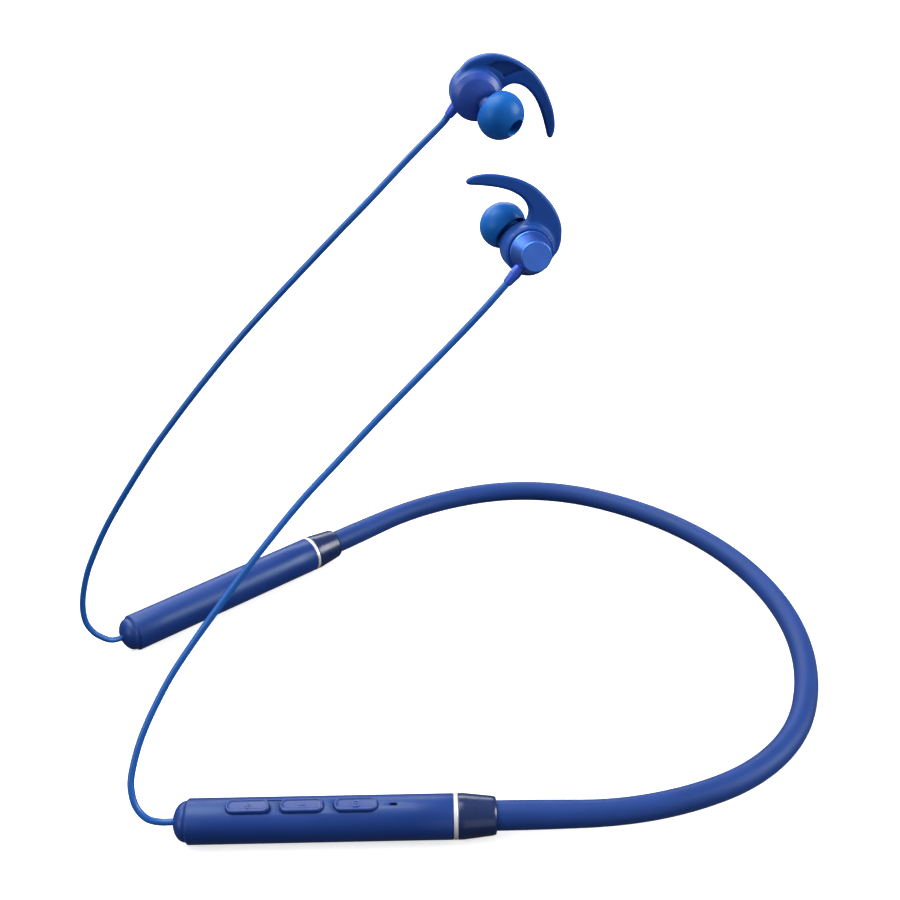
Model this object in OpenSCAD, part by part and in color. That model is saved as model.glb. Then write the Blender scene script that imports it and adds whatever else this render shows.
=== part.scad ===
// Neckband earphones: a silicone neck tube with two pods and two corded earbuds.
// Frame: origin on the inner face of the tube at the nape, +X out behind the neck,
// +Y towards the wearer's right (battery pod), +Z up. Millimetres.

/* [Neck tube] */
// Outer diameter of the silicone tube
tube_d = 7.2; // [6.8:0.1:7.6]
// Diameter of the tube where it enters a collar
tube_end_d = 7.9; // [7.6:0.1:8.2]
// Bore of the tube
tube_bore_d = 4.2; // [4:0.1:4.6]
// Centreline radius at the nape
nape_r = 98; // [94:1:102]
// Half of the angle that the nape arc covers
nape_half_angle = 43.5; // [41:0.5:46]
// Centreline radius at the sides of the neck
side_r = 62; // [58:1:66]
// Angle that a side arc covers
side_angle = 41.4; // [39:0.1:44]
// Centreline radius towards the shoulders
shoulder_r = 95; // [90:1:100]
// Angle that a shoulder arc covers
shoulder_angle = 25.3; // [23:0.1:27]
// Straight length of tube before a collar
tube_straight = 22.7; // [18:0.1:26]

/* [Pods] */
// Outer diameter of a pod shell
pod_d = 12; // [11.6:0.1:12.6]
// Wall of a pod shell
pod_wall = 0.9; // [0.8:0.05:1]
// Length of a pod shell
shell_len = 70.8; // [68:0.1:74]
// Length of the bright ring
ring_len = 1.15; // [1:0.05:2]
// Length of the tapered collar
collar_len = 10.2; // [9:0.1:12]
// Diameter of the collar at the tube
collar_end_d = 10.2; // [9.8:0.1:10.6]
// Length of the domed end cap
dome_len = 3.4; // [3:0.1:4]

/* [Controls] */
// Length of a button
button_len = 11.6; // [11:0.1:12]
// Width of a button
button_w = 4.1; // [3.8:0.1:4.4]
// Height of a button top above the pod's axis
button_top = 6.7; // [6.5:0.1:7]
// Distance from the cap edge to the middle of the first button
first_button = 16.7; // [16:0.1:18]
// Distance between button middles
button_pitch = 14.2; // [13.5:0.1:14.6]
// Distance from the cap edge to the microphone slot
mic_from_cap = 55; // [53:0.5:56]
// Distance from the cap edge to the middle of the charging port
port_from_cap = 62; // [60:0.5:63]
// Angle that the button row leans outwards from straight up
control_roll = 11; // [0:1:20]

/* [Earbuds] */
// Radius of the spun metal face
face_r = 3.8; // [3.6:0.1:4.2]
// Radius of the earbud housing inside its silicone sleeve
housing_r = 5.5; // [5.3:0.1:5.7]
// Height of the metal face above the sleeve's middle
face_z = 10; // [9:0.5:11]
// Lean of the sound nozzle from the housing axis
nozzle_lean = 45; // [40:1:50]
// Largest radius of an ear tip
tip_r = 6.1; // [5.6:0.1:6.4]
// Thickness of the ear fin
fin_t = 3; // [2.6:0.1:3.4]

/* [Cables] */
// Outer diameter of an earbud cable
cable_d = 1.9; // [1.7:0.1:2.1]

/* [Hidden] */
$fn = 64;

LEFT = -1;
RIGHT = 1;
blue = [0.13, 0.24, 0.55];
bright_blue = [0.1, 0.38, 0.7];
navy = [0.1, 0.14, 0.3];
metal_blue = [0.2, 0.38, 0.82];

// Neck tube plan, on the +Y side: three arcs that share tangents, then a straight.
side_from = nape_half_angle;
shoulder_from = side_from + side_angle;
tube_turn = shoulder_from + shoulder_angle;
pod_splay = tube_turn - 90;
function polar(r, a) = [r * cos(a), r * sin(a)];
nape_c = [tube_d / 2 - nape_r, 0];
side_c = nape_c + polar(nape_r - side_r, side_from);
shoulder_c = side_c + polar(side_r - shoulder_r, shoulder_from);
straight_from = shoulder_c + polar(shoulder_r, tube_turn);
pod_at = straight_from + tube_straight * polar(1, tube_turn + 90);

// Memory wire and harness, as offsets from the centreline away from the arcs' centres.
wire_r = 0.6;
wire_off = -1.2;
harness_r = 0.9;
harness_off = 0.8;

// Stations along a pod, from the collar's mouth towards the cap.
ring_u = collar_len;
shell_u = ring_u + ring_len;
cap_u = shell_u + shell_len;
tip_u = cap_u + dome_len;
pod_r = pod_d / 2;
bore_r = pod_r - pod_wall;
tube_seat = 4;
tube_step = 0.03;
spigot_len = 4;
spigot_r = bore_r - 0.05;
cap_flat_r = 1.3;
dome_r = 5.35;
shell_bevel = 0.6;
anchor_r = cable_d / 2;

// Controls
button_u = [for (i = [0:2]) cap_u - first_button - i * button_pitch];
button_gap = 0.15;
button_travel = 0.3;
flange_z = 3.7;
flange_t = 0.5;
flange_over = 0.45;
mic_u = cap_u - mic_from_cap;
port_u = cap_u - port_from_cap;
port_z = -1.2;
port_w = 8.94;
port_h = 3.2;
port_depth = 7.2;
port_face = -4.65;
cover_len = 13;
cover_from = -106;
cover_to = -50;
cover_in_r = 5.45;
cover_gap = 0.15;
board_t = 0.8;
board_w = 8.5;
board_from = shell_u + spigot_len + 0.3;

// Earbuds, drawn about the sleeve's middle with +Z towards the metal face
// and +X along the boot.
cup_seam_z = 0.6;
cup_rim_z = 4.7;
front_z = -3;
flange_r = 6.25;
sleeve_r = 6.35;
boot_z = 6;
boot_in = 4.2;
boot_len = 9.8;
boot_r = 1.5;
boot_end_r = 1.15;
nozzle_turn = -95;
nozzle_z = -1.4;
nozzle_r = 2.6;
nozzle_bore_r = 1.8;
nozzle_len = 11.85;
tip_from = 6.05;
tip_mid = 9.45;
tip_to = 14.25;
tip_hole_r = 2;
sleeve_fit = 0.05;
left_bud_at = [-98.5, -25, 138.9];
left_bud_turn = [-81.1, 46.7, 176.3];
right_bud_at = [-104.9, -5.8, 174.4];
right_bud_turn = [80.8, 52.1, 158.6];

// Cable routes between the cap exits and the boots.
cap_exit = pod_at + tip_u * polar(1, tube_turn + 90);
left_route = [
  [-209, -42.4, 0], [-212, -41, 1], [-214, -39, 3.5], [-214.6, -37, 7],
  [-213.8, -34.8, 11.5], [-210, -32, 20], [-204, -29.6, 29.5], [-196.5, -28, 39.5],
  [-181, -26, 57], [-170, -25.3, 69], [-160.5, -25.2, 79], [-150.5, -25.5, 88.5],
  [-140, -26, 98.5], [-129.5, -27, 108.5], [-119.5, -28, 118], [-112.3, -29.6, 125.8]
];
right_route = [
  [-208.9, 42.7, 0.7], [-211.7, 42.3, 2.8], [-214.4, 42.4, 5.9], [-216, 42.6, 10.4],
  [-215.9, 42.4, 17], [-214.1, 41.2, 25.5], [-211.3, 39.8, 33.5], [-204.6, 36.3, 48.1],
  [-192.5, 29.8, 69.5], [-183.8, 25.3, 82.9], [-174.7, 21, 95.7], [-165.4, 16.6, 108],
  [-155.5, 12.3, 119.9], [-140.3, 6.7, 136.8], [-130.1, 4.3, 147.1], [-119.4, 3, 157.5],
  [-110.8, 2.9, 164.9]
];
cable_rings = 38;
cable_sides = 8;

// Fin outline, from the sleeve out along the back of the horn, round its tip and back.
fin_outline = [
  [3, 4.6], [1.2, 5.9], [-0.8, 6.4], [-3, 6.75], [-5, 6.6], [-6.9, 5.7], [-8.6, 4.4],
  [-10, 3], [-11.2, 1], [-12, -1], [-12.6, -3.5], [-12.85, -6.2], [-12.8, -9],
  [-12.1, -12], [-11.2, -14.3], [-10.1, -16.4], [-8.9, -18.4], [-7.6, -20.1],
  [-6.2, -21.6], [-4.8, -22.7], [-3.6, -23.3], [-2.7, -23.4], [-2.2, -22.9],
  [-2.4, -22.1], [-3.4, -20.8], [-4.7, -19], [-5.9, -17.2], [-7, -15.3], [-7.9, -13.3],
  [-8.45, -11.2], [-8.6, -9.3], [-8.2, -7.4], [-7.3, -6], [-5.9, -5.2], [-4.2, -4.7],
  [-2.8, -4.4]
];

// ---- helpers ----

// Point on a Catmull-Rom curve through the list, at parameter t in segments.
function at(p, i) = p[max(0, min(len(p) - 1, i))];
function spline(p, t) =
  let (i = min(floor(t), len(p) - 2), f = t - i,
       a = at(p, i - 1), b = at(p, i), c = at(p, i + 1), d = at(p, i + 2))
  0.5 * ((2 * b) + (c - a) * f + (2 * a - 5 * b + 4 * c - d) * f * f
         + (3 * b - a - 3 * c + d) * f * f * f);
function unit(v) = v / norm(v);
function path_tangent(q, i) = unit(at(q, i + 1) - at(q, i - 1));

// One closed tube along the list, with its end faces square to the given directions.
// Its sides are laid out from a reference direction that the path never runs along.
module sweep(q, r, sides, dir_a, dir_b, ref) {
  last = len(q) - 1;
  rings = [for (i = [0:last])
    let (t = i == 0 ? dir_a : i == last ? dir_b : path_tangent(q, i),
         n = unit(cross(t, ref)), b = cross(t, n))
    for (k = [0:sides - 1]) q[i] + r * (cos(360 * k / sides) * n + sin(360 * k / sides) * b)];
  quads = [for (i = [0:last - 1], k = [0:sides - 1])
    let (k2 = (k + 1) % sides)
    [i * sides + k, i * sides + k2, (i + 1) * sides + k2, (i + 1) * sides + k]];
  ends = [[for (k = [0:sides - 1]) sides - 1 - k], [for (k = [0:sides - 1]) last * sides + k]];
  faces = [for (f = concat(quads, ends)) [for (j = [len(f) - 1:-1:0]) f[j]]];
  polyhedron(points = rings, faces = faces);
}

// Rotation that OpenSCAD's rotate(v) makes, applied to a point.
function turned(v, p) =
  let (x = [p[0], p[1] * cos(v[0]) - p[2] * sin(v[0]), p[1] * sin(v[0]) + p[2] * cos(v[0])],
       y = [x[0] * cos(v[1]) + x[2] * sin(v[1]), x[1], x[2] * cos(v[1]) - x[0] * sin(v[1])])
  [y[0] * cos(v[2]) - y[1] * sin(v[2]), y[0] * sin(v[2]) + y[1] * cos(v[2]), y[2]];

// Part of a round section swept along an arc of the tube plan.
module arc(centre, radius, from, angle, r, off) {
  translate([centre[0], centre[1], 0])
    rotate([0, 0, from])
      rotate_extrude(angle = angle)
        translate([radius + off, 0])
          circle(r = r, $fn = 32);
}

module arc_tube(centre, radius, from, angle) {
  difference() {
    arc(centre, radius, from, angle, tube_d / 2, 0);
    arc(centre, radius, from - 1, angle + 2, tube_bore_d / 2, 0);
  }
}

// Along the pod: x from the collar's mouth to the cap, z up.
module on_pod(side) {
  translate([pod_at[0], side * pod_at[1], 0])
    rotate([0, 0, 180 + side * pod_splay])
      children();
}

module along(from, to, r) {
  translate([from, 0, 0])
    rotate([0, 90, 0])
      cylinder(r = r, h = to - from);
}

module cone_along(from, to, ra, rb) {
  translate([from, 0, 0])
    rotate([0, 90, 0])
      cylinder(r1 = ra, r2 = rb, h = to - from);
}

// In the control pod, rolled so that the buttons lean outwards.
module on_controls() {
  on_pod(LEFT)
    rotate([-control_roll, 0, 0])
      children();
}

// A slot with round ends, long along x.
module stadium(length, width, height) {
  half = (length - width) / 2;
  for (s = [-1, 1])
    translate([s * half, 0, 0])
      cylinder(d = width, h = height);
  translate([-half, -width / 2, 0])
    cube([2 * half, width, height]);
}

module on_bud(at_point, turn) {
  translate(at_point)
    rotate(turn)
      children();
}

module on_nozzle() {
  translate([0, 0, nozzle_z])
    rotate([0, 0, nozzle_turn])
      rotate([0, 180 - nozzle_lean, 0])
        children();
}

// ---- neck tube ----

module nape_tube() {
  color(blue)
    arc_tube(nape_c, nape_r, -nape_half_angle, 2 * nape_half_angle);
}

module flex_tube() {
  color(blue)
    arc_tube(side_c, side_r, side_from, side_angle);
}

module right_flex_tube() {
  flex_tube();
}

module left_flex_tube() {
  mirror([0, 1, 0]) flex_tube();
}

module arm_tube() {
  color(blue) {
    arc_tube(shoulder_c, shoulder_r, shoulder_from, shoulder_angle);
    on_pod(RIGHT)
      difference() {
        union() {
          cone_along(-tube_straight, -6, tube_d / 2 + tube_step, tube_end_d / 2);
          along(-6, tube_seat, tube_end_d / 2);
        }
        along(-tube_straight - 1, tube_seat + 1, tube_bore_d / 2 + tube_step);
      }
  }
}

module right_arm_tube() {
  arm_tube();
}

module left_arm_tube() {
  mirror([0, 1, 0]) arm_tube();
}

// Points of the tube plan from the nape to a place inside the right pod, set off sideways.
function arc_points(centre, r, from, angle, n) =
  [for (i = [1:n]) concat(centre + polar(r, from + angle * i / n), 0)];
function half_plan(off, reach) =
  let (end = pod_at + reach * polar(1, tube_turn + 90) + off * polar(1, tube_turn))
  concat(arc_points(nape_c, nape_r + off, 0, side_from, 6),
         arc_points(side_c, side_r + off, side_from, side_angle, 6),
         arc_points(shoulder_c, shoulder_r + off, shoulder_from, shoulder_angle, 4),
         [[end[0], end[1], 0]]);

// A strand inside the tube, from one pod to the other.
module strand(r, off, reach) {
  half = half_plan(off, reach);
  last = len(half) - 1;
  nape = [nape_c[0] + nape_r + off, 0, 0];
  path = concat([for (i = [last:-1:0]) [half[i][0], -half[i][1], 0]], [nape], half);
  out = polar(1, tube_turn + 90);
  sweep(path, r, 8, [-out[0], out[1], 0], [out[0], out[1], 0], [0, 0, 1]);
}

module memory_wire() {
  color("silver")
    strand(wire_r, wire_off, 6);
}

module signal_harness() {
  color("dimgray")
    strand(harness_r, harness_off, 9);
}

// ---- parts that both pods share ----

module collar() {
  color(navy)
    difference() {
      union() {
        cone_along(0, 0.7, collar_end_d / 2 - 0.6, collar_end_d / 2);
        cone_along(0.7, ring_u, collar_end_d / 2, pod_r + 0.05);
        along(ring_u, shell_u + spigot_len, spigot_r);
      }
      along(-1, tube_seat, tube_end_d / 2 + 0.02);
      along(0, shell_u + spigot_len + 1, 3);
    }
}

module bright_ring() {
  color("gainsboro")
    difference() {
      along(ring_u, shell_u, pod_r + 0.03);
      along(ring_u - 1, shell_u + 1, bore_r);
    }
}

module end_cap() {
  steps = 9;
  dome = [for (i = [0:steps])
    let (a = acos(cap_flat_r / dome_r) * i / steps)
    [dome_r * cos(a), dome_len * sin(a) / sin(acos(cap_flat_r / dome_r))]];
  color(blue)
    translate([cap_u, 0, 0])
      rotate([0, 90, 0])
        rotate_extrude()
          polygon(concat(
            [[anchor_r + 0.05, dome_len], [anchor_r + 0.05, 1], [bore_r - 1.2, 0.6],
             [bore_r - 1.2, -spigot_len], [spigot_r, -spigot_len], [spigot_r, 0]],
            dome));
}

module cable_anchor() {
  color("gray") {
    along(cap_u + 0.5, tip_u, anchor_r);
    along(cap_u - 2.5, cap_u + 0.5, 2);
  }
}

// A shell's outside, with a bevel at the cap.
module shell_body() {
  along(shell_u, cap_u - shell_bevel, pod_r);
  cone_along(cap_u - shell_bevel, cap_u, pod_r, dome_r + 0.05);
}

// ---- control pod ----

module cover_sector(r_in, r_out, from, to, length) {
  translate([port_u - length / 2, 0, 0])
    rotate([0, 90, 0])
      rotate([0, 0, from])
        rotate_extrude(angle = to - from)
          translate([r_in, 0])
            square([r_out - r_in, length]);
}

module control_shell() {
  color(blue)
    on_controls()
      difference() {
        shell_body();
        along(shell_u - 1, cap_u + 1, bore_r);
        for (u = button_u)
          translate([u, 0, 3])
            stadium(button_len + 2 * button_gap, button_w + 2 * button_gap, 5);
        translate([mic_u, 0, 4])
          stadium(2.1, 0.9, 4);
        cover_sector(cover_in_r, pod_r + 1, cover_from, cover_to, cover_len);
        port_hole(0.1, 8);
      }
}

// The port's outline, as a bar along y through the inner side of the pod.
module port_hole(gap, depth) {
  translate([port_u, port_face + 2, port_z])
    rotate([90, 0, 0])
      stadium(port_w + 2 * gap, port_h + 2 * gap, depth);
}

module control_chassis() {
  color("dimgray")
    on_controls()
      difference() {
        along(shell_u + spigot_len + 0.4, cap_u - spigot_len - 0.4, bore_r - 0.1);
        along(shell_u, cap_u, bore_r - 0.7);
        translate([0, -pod_r, -0.6])
          cube([100, pod_d, pod_d]);
        translate([port_u - 5, -pod_r, -pod_r])
          cube([10, pod_d, pod_d]);
      }
}

module control_board() {
  color("darkgreen")
    on_controls()
      difference() {
        translate([board_from, -board_w / 2, -board_t / 2])
          cube([cap_u - spigot_len - 1 - board_from, board_w, board_t]);
        translate([port_u - port_w / 2 - 0.1, -board_w, -2])
          cube([port_w + 0.2, board_w + port_depth + port_face + 0.1, 4]);
      }
}

module button_switches() {
  color("silver")
    on_controls()
      for (u = button_u)
        translate([u, 0, board_t / 2]) {
          translate([-2, -1.5, 0])
            cube([4, 3, 1.5]);
          cylinder(r = 0.9, h = 2.4);
        }
}

module button_membrane() {
  color("lightgray")
    on_controls()
      translate([button_u[1], 0, 2.95])
        stadium(2 * button_pitch + button_len, 5, 0.3);
}

module radio_shield() {
  color("silver")
    on_controls()
      translate([button_u[1] - 5, -3, -board_t / 2 - 1.3])
        cube([10, 6, 1.3]);
}

module microphone() {
  color("silver")
    on_controls()
      translate([mic_u, 0, 3.2])
        cylinder(r = 1.5, h = 1.3);
}

module charging_port() {
  color("silver")
    on_controls()
      difference() {
        translate([port_u, port_face, port_z])
          rotate([-90, 0, 0])
            stadium(port_w, port_h, port_depth);
        difference() {
          translate([port_u, port_face - 0.1, port_z])
            rotate([-90, 0, 0])
              stadium(port_w - 0.6, port_h - 0.64, port_depth - 0.9);
          translate([port_u - 3.35, port_face + 1.5, port_z - 0.35])
            cube([6.7, port_depth, 0.7]);
        }
      }
}

module port_cover() {
  color(blue)
    on_controls() {
      cover_sector(cover_in_r + 0.05, pod_r - 0.02,
                   cover_from + 2, cover_to - 6, cover_len - 2 * cover_gap);
      translate([port_u, port_face - 0.95, port_z])
        rotate([-90, 0, 0])
          stadium(7.2, 1.5, 1.95);
    }
}

module push_button(i) {
  color(bright_blue)
    on_controls()
      translate([button_u[i], 0, 0]) {
        translate([0, 0, flange_z + flange_t])
          stadium(button_len, button_w, button_top - 0.3 - flange_z - flange_t);
        translate([0, 0, button_top - 0.3])
          stadium(button_len - 0.5, button_w - 0.5, 0.3);
        translate([0, 0, flange_z])
          stadium(button_len + 2 * flange_over, button_w + 2 * flange_over, flange_t);
      }
}

module volume_up_button() {
  push_button(0);
}

module volume_down_button() {
  push_button(1);
}

module power_button() {
  push_button(2);
}

module control_collar() {
  on_pod(LEFT) collar();
}

module control_ring() {
  on_pod(LEFT) bright_ring();
}

module control_end_cap() {
  on_pod(LEFT) end_cap();
}

module left_cable_anchor() {
  on_pod(LEFT) cable_anchor();
}

// ---- battery pod ----

cell_u = 20;
cell_len = 48;
cell_r = 4.6;

module battery_shell() {
  color(blue)
    on_pod(RIGHT)
      difference() {
        shell_body();
        along(shell_u - 1, cap_u + 1, bore_r);
      }
}

module battery_cell() {
  color("lightsteelblue")
    on_pod(RIGHT) {
      along(cell_u, cell_u + cell_len, cell_r);
      along(cell_u + cell_len, cell_u + cell_len + 0.7, 1.5);
    }
}

module cell_pads() {
  color("black")
    on_pod(RIGHT)
      for (u = [cell_u + 4, cell_u + cell_len - 8])
        difference() {
          along(u, u + 4, bore_r - 0.05);
          along(u - 1, u + 5, cell_r + 0.02);
        }
}

module protection_board() {
  color("darkgreen")
    on_pod(RIGHT)
      translate([cell_u + cell_len + 1.2, -4, -board_t / 2])
        cube([7, 8, board_t]);
}

module battery_leads() {
  color("firebrick")
    on_pod(RIGHT)
      for (s = [-1, 1])
        translate([0, s * 1.2, 0])
          along(9.2, cell_u - 0.2, 0.45);
}

module battery_collar() {
  on_pod(RIGHT) collar();
}

module battery_ring() {
  on_pod(RIGHT) bright_ring();
}

module battery_end_cap() {
  on_pod(RIGHT) end_cap();
}

module right_cable_anchor() {
  on_pod(RIGHT) cable_anchor();
}

// ---- earbud parts, drawn in the earbud's own frame ----

module bud_cup() {
  color(metal_blue)
    difference() {
      rotate_extrude()
        polygon([
          [0, face_z], [face_r - 0.2, face_z], [face_r, face_z - 0.2], [housing_r - 0.3, cup_rim_z + 0.2],
          [housing_r, cup_rim_z], [housing_r, cup_seam_z], [housing_r - 0.7, cup_seam_z],
          [housing_r - 0.7, cup_rim_z], [face_r - 0.7, face_z - 0.8], [0, face_z - 0.8]
        ]);
      translate([0, 0, boot_z])
        rotate([0, 90, 0])
          cylinder(r = boot_r + 0.02, h = 10);
    }
}

module bud_front() {
  color(navy)
    difference() {
      union() {
        rotate_extrude()
          polygon([
            [0, cup_seam_z], [housing_r, cup_seam_z], [housing_r, front_z], [flange_r, front_z],
            [flange_r, front_z - 0.45], [4.85, -4.8], [2.8, -5.5], [0, -5.75]
          ]);
        on_nozzle()
          cylinder(r = nozzle_r, h = nozzle_len);
      }
      rotate_extrude()
        polygon([
          [0, cup_seam_z + 1], [4.8, cup_seam_z + 1], [4.8, front_z + 0.6], [3.5, -4], [0, -4.4]
        ]);
      on_nozzle()
        translate([0, 0, 2])
          cylinder(r = nozzle_bore_r, h = nozzle_len);
    }
}

module driver() {
  color("dimgray") {
    translate([0, 0, cup_seam_z + 0.6])
      cylinder(r = housing_r - 0.75, h = 1.6);
    translate([0, 0, cup_seam_z + 2.2])
      cylinder(r = 3.2, h = 1.2);
  }
}

module magnet() {
  color("silver")
    translate([0, 0, face_z - 2.4])
      cylinder(r = 2.9, h = 1.5);
}

module nozzle_mesh() {
  color("darkgray")
    on_nozzle()
      translate([0, 0, nozzle_len - 0.7])
        cylinder(r = nozzle_bore_r - 0.02, h = 0.3);
}

module boot() {
  color(metal_blue)
    translate([0, 0, boot_z])
      rotate([0, 90, 0])
        translate([0, 0, boot_in])
          cylinder(r1 = boot_r, r2 = boot_end_r, h = boot_len - boot_in);
}

// Mushroom tip: an outer dome that turns in at the front to a stem on the nozzle.
module ear_tip() {
  steps = 10;
  skin = 0.6;
  stem_r = nozzle_r + 0.05;
  front = tip_to - tip_mid;
  outer = [for (i = [0:steps])
    let (a = 72 * i / steps) [tip_r * cos(a), tip_mid + front * sin(a) / sin(72)]];
  inner = [for (i = [steps:-1:0])
    let (a = 52 * i / steps) [(tip_r - skin) * cos(a), tip_mid + (front - 1) * sin(a) / sin(72)]];
  color(bright_blue)
    on_nozzle()
      rotate_extrude()
        polygon(concat(
          [[tip_r - 0.9, tip_from], [tip_r - 0.2, tip_mid - 1.6]],
          outer,
          [[tip_hole_r, tip_to - 0.2], [tip_hole_r, nozzle_len + 0.3], [stem_r, nozzle_len + 0.3],
           [stem_r, tip_from + 0.4], [stem_r + 0.7, tip_from + 0.4]],
          inner,
          [[tip_r - 0.8, tip_mid - 1.6], [tip_r - 1.4, tip_from]]));
}

module ear_fin() {
  bore = housing_r + sleeve_fit;
  color(blue)
    difference() {
      union() {
        rotate_extrude()
          polygon([
            [bore - 1, 4.5], [bore + 0.35, 4.5], [bore + 0.75, 3.6], [sleeve_r, 1],
            [sleeve_r, -1.5], [sleeve_r - 0.15, front_z + 0.05], [bore - 1, front_z + 0.05]
          ]);
        translate([0, 0, -fin_t / 2])
          linear_extrude(fin_t)
            polygon(fin_outline);
      }
      translate([0, 0, -20])
        cylinder(r = bore, h = 40);
    }
}

// ---- cables ----

function boot_end(at_point, turn) = at_point + turned(turn, [boot_len, 0, boot_z]);

module cable(side, route, bud_at, bud_turn) {
  ends = concat([[cap_exit[0], side * cap_exit[1], 0]], route, [boot_end(bud_at, bud_turn)]);
  segments = len(ends) - 1;
  q = [for (i = [0:cable_rings - 1]) spline(ends, segments * i / (cable_rings - 1))];
  out = polar(1, tube_turn + 90);
  color(bright_blue)
    sweep(q, cable_d / 2, cable_sides, [out[0], side * out[1], 0], -turned(bud_turn, [1, 0, 0]),
          [0.3, 1, 0.1]);
}

module left_cable() {
  cable(LEFT, left_route, left_bud_at, left_bud_turn);
}

module right_cable() {
  cable(RIGHT, right_route, right_bud_at, right_bud_turn);
}

// ---- earbuds in place ----

module left_bud_cup() {
  on_bud(left_bud_at, left_bud_turn) bud_cup();
}

module left_bud_front() {
  on_bud(left_bud_at, left_bud_turn) bud_front();
}

module left_driver() {
  on_bud(left_bud_at, left_bud_turn) driver();
}

module left_magnet() {
  on_bud(left_bud_at, left_bud_turn) magnet();
}

module left_nozzle_mesh() {
  on_bud(left_bud_at, left_bud_turn) nozzle_mesh();
}

module left_boot() {
  on_bud(left_bud_at, left_bud_turn) boot();
}

module left_ear_tip() {
  on_bud(left_bud_at, left_bud_turn) ear_tip();
}

module left_ear_fin() {
  on_bud(left_bud_at, left_bud_turn) ear_fin();
}

module right_bud_cup() {
  on_bud(right_bud_at, right_bud_turn) bud_cup();
}

module right_bud_front() {
  on_bud(right_bud_at, right_bud_turn) bud_front();
}

module right_driver() {
  on_bud(right_bud_at, right_bud_turn) driver();
}

module right_magnet() {
  on_bud(right_bud_at, right_bud_turn) magnet();
}

module right_nozzle_mesh() {
  on_bud(right_bud_at, right_bud_turn) nozzle_mesh();
}

module right_boot() {
  on_bud(right_bud_at, right_bud_turn) boot();
}

module right_ear_tip() {
  on_bud(right_bud_at, right_bud_turn) ear_tip();
}

module right_ear_fin() {
  on_bud(right_bud_at, right_bud_turn) ear_fin();
}

nape_tube();
left_flex_tube();
right_flex_tube();
memory_wire();
signal_harness();
left_arm_tube();
control_collar();
control_ring();
control_shell();
control_end_cap();
control_chassis();
control_board();
button_switches();
button_membrane();
radio_shield();
microphone();
charging_port();
port_cover();
volume_up_button();
volume_down_button();
power_button();
left_cable_anchor();
right_arm_tube();
battery_collar();
battery_ring();
battery_shell();
battery_end_cap();
battery_cell();
cell_pads();
protection_board();
battery_leads();
right_cable_anchor();
left_cable();
left_bud_cup();
left_bud_front();
left_driver();
left_magnet();
left_nozzle_mesh();
left_boot();
left_ear_tip();
left_ear_fin();
right_cable();
right_bud_cup();
right_bud_front();
right_driver();
right_magnet();
right_nozzle_mesh();
right_boot();
right_ear_tip();
right_ear_fin();
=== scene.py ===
import math

import bmesh
import bpy
import numpy as np
from mathutils import Matrix, Vector


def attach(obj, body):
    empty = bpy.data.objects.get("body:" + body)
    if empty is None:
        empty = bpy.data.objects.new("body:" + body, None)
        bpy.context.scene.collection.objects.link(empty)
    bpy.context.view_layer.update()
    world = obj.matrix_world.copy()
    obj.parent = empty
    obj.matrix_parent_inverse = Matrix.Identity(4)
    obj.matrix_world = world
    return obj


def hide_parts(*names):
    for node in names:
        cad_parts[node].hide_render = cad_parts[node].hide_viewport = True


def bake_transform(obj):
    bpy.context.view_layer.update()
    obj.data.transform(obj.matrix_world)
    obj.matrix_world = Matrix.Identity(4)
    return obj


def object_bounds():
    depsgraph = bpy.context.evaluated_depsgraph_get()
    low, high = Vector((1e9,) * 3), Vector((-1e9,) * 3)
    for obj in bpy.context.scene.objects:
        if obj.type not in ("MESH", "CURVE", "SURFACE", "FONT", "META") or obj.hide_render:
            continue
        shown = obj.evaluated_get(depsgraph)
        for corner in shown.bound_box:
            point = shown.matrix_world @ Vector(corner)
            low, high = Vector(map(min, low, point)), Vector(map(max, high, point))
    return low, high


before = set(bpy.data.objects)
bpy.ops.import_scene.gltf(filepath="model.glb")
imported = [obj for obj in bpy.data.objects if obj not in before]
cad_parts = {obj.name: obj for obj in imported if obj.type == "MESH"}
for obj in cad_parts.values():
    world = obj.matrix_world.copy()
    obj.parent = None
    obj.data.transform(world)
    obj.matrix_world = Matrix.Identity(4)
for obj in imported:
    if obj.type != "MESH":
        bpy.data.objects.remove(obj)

MM = 0.001
LEFT, RIGHT = -1, 1
cad_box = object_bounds()
scene = bpy.context.scene

# ---- camera, on the photograph's side of the object ----

camera = bpy.data.objects.new("camera", bpy.data.cameras.new("camera"))
scene.collection.objects.link(camera)
cam_right = Vector((0.9287, -0.3707, 0.0)).normalized()
cam_forward = Vector((0.3277, 0.8209, -0.4676)).normalized()
cam_up = cam_right.cross(cam_forward).normalized()
camera.matrix_world = Matrix.Translation(Vector((-0.2290, -0.2998, 0.2418))) @ Matrix(
    (cam_right, cam_up, -cam_forward)).transposed().to_4x4()
camera.data.lens = 50
camera.data.sensor_width = 36
camera.data.clip_start = 0.01
camera.data.clip_end = 20
scene.camera = camera

# ---- the design's sizes, in millimetres, as in the CAD ----

TUBE_R, TUBE_END_R = 3.6, 3.95
NAPE_R, NAPE_HALF, SIDE_R, SIDE_ANGLE = 98, 43.5, 62, 41.4
SHOULDER_R, SHOULDER_ANGLE, STRAIGHT = 95, 25.3, 22.7
POD_R, SHELL_LEN, RING_LEN, COLLAR_LEN, DOME_LEN = 6.0, 70.8, 1.15, 10.2, 3.4
DOME_R, CAP_FLAT_R, CONTROL_ROLL = 5.35, 1.3, 11
RING_U = COLLAR_LEN
SHELL_U = RING_U + RING_LEN
CAP_U = SHELL_U + SHELL_LEN
TIP_U = CAP_U + DOME_LEN
BORE_R = 5.1
BUTTON_LEN, BUTTON_W = 11.6, 4.1
BUTTON_US = [CAP_U - 16.7 - 14.2 * i for i in range(3)]
MIC_U, PORT_U, PORT_Z = CAP_U - 55, CAP_U - 62, -1.2
COVER_FROM, COVER_TO, COVER_LEN = -104, -56, 12.7
BOOT_Z, BOOT_IN, BOOT_LEN, BOOT_R, BOOT_END_R = 6, 4.2, 9.8, 1.5, 1.15
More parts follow.
